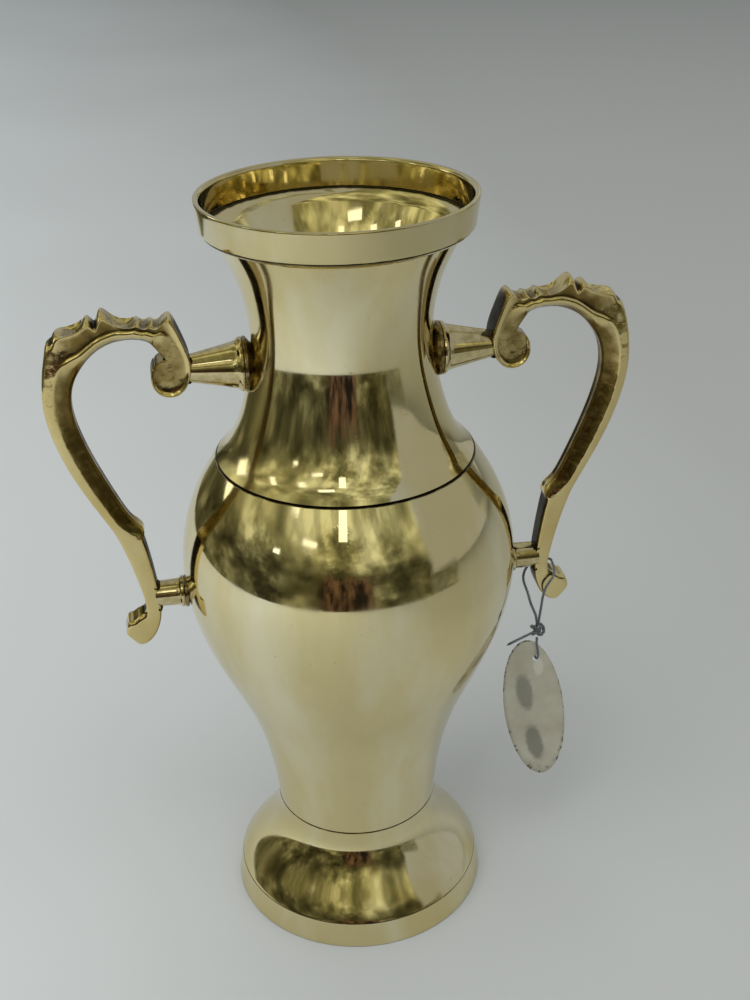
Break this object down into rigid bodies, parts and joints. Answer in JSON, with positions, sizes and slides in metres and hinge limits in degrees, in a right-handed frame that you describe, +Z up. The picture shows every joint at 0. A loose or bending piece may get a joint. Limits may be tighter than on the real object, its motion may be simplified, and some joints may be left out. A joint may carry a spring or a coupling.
{
  "type": "two-handled brass vase",
  "caption": "Turned urn-shaped brass vase with a rim band, two cast scroll handles on turned bosses, a flared foot and an oval tag on a string.",
  "frame": {"origin": "centre of the foot's ring on the surface that the vase stands on", "axes": "+Z up along the vase's turning axis, +X to the right handle, +Y to the back"},
  "size_m": [0.219, 0.1286, 0.3001],
  "materials": {
    "spun_brass": "turned and polished to a mirror",
    "cast_brass": "cast and hand polished, dark in its recesses",
    "dark_brass": "dull, blackened by the solder",
    "screw_brass": "plain turned",
    "grey_string": "twisted cotton, matt",
    "tag_card": "thin translucent card with a rough cut edge"
  },
  "bodies": {
    "vase": {"rim_band": "spun_brass", "neck": "spun_brass", "belly": "spun_brass", "foot": "spun_brass", "left_handle": "cast_brass", "right_handle": "cast_brass", "upper_boss_left": "spun_brass", "upper_collar_left": "dark_brass", "upper_boss_right": "spun_brass", "upper_collar_right": "dark_brass", "upper_handle_screws": "screw_brass", "upper_screw_washers": "screw_brass", "lower_boss_left": "spun_brass", "lower_collar_left": "dark_brass", "lower_boss_right": "spun_brass", "lower_collar_right": "dark_brass", "lower_handle_screws": "screw_brass", "lower_screw_washers": "screw_brass", "foot_washer": "screw_brass", "foot_nut": "screw_brass", "string_front_strand": "grey_string", "string_back_strand": "grey_string"},
    "hanging_string": {"string_drop": "grey_string"},
    "knot": {"string_knot": "grey_string", "string_tail": "grey_string"},
    "tag": {"tag_tie": "grey_string", "tag_card": "tag_card"}
  },
  "joints": [
    {"name": "tag_swing", "type": "hinge", "parent": "vase", "child": "hanging_string", "pos_m": [0.0769, -0.003, 0.122], "axis": [0, 1, 0], "range_deg": [-45, 20]},
    {"name": "tag_sway", "type": "hinge", "parent": "hanging_string", "child": "knot", "pos_m": [0.0769, -0.003, 0.116], "axis": [1, 0, 0], "range_deg": [-25, 25]},
    {"name": "tag_twist", "type": "hinge", "parent": "knot", "child": "tag", "pos_m": [0.0769, -0.003, 0.1089], "axis": [0, 0, 1], "range_deg": [-150, 150]}
  ]
}
